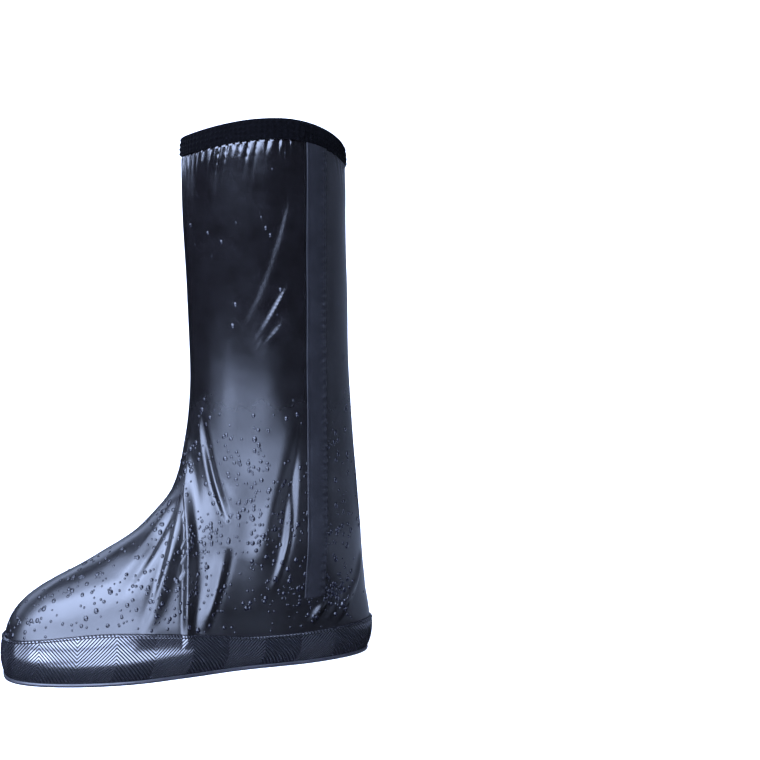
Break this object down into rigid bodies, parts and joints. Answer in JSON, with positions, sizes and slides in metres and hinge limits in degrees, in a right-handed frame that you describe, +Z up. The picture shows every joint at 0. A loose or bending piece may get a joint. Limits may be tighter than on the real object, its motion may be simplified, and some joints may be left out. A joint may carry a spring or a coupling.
{
  "type": "shoe cover",
  "caption": "Knee-high waterproof rain boot cover for a left shoe, with an elastic cuff, a side closure flap and a ribbed sole band.",
  "frame": {"origin": "on the floor, under the middle of the whole cover's box", "axes": "-X points to the toe, +X to the heel, -Y to the outer side with the flap, +Z up"},
  "size_m": [0.304, 0.1172, 0.436],
  "materials": {
    "coated_sheet": "glossy wet black-navy PVC sheet with soft folds",
    "cuff_elastic": "matte black shirred elastic",
    "flap_sheet": "satin black-navy PVC sheet with a stiff hem",
    "ribbed_band": "satin black PVC embossed with a fine herringbone",
    "sole_sheet": "satin black PVC with a plain tread"
  },
  "bodies": {
    "root": {"upper_shell": "coated_sheet", "cuff_band": "cuff_elastic", "closure_flap": "flap_sheet", "sole_band": "ribbed_band", "outsole": "sole_sheet"}
  },
  "joints": []
}
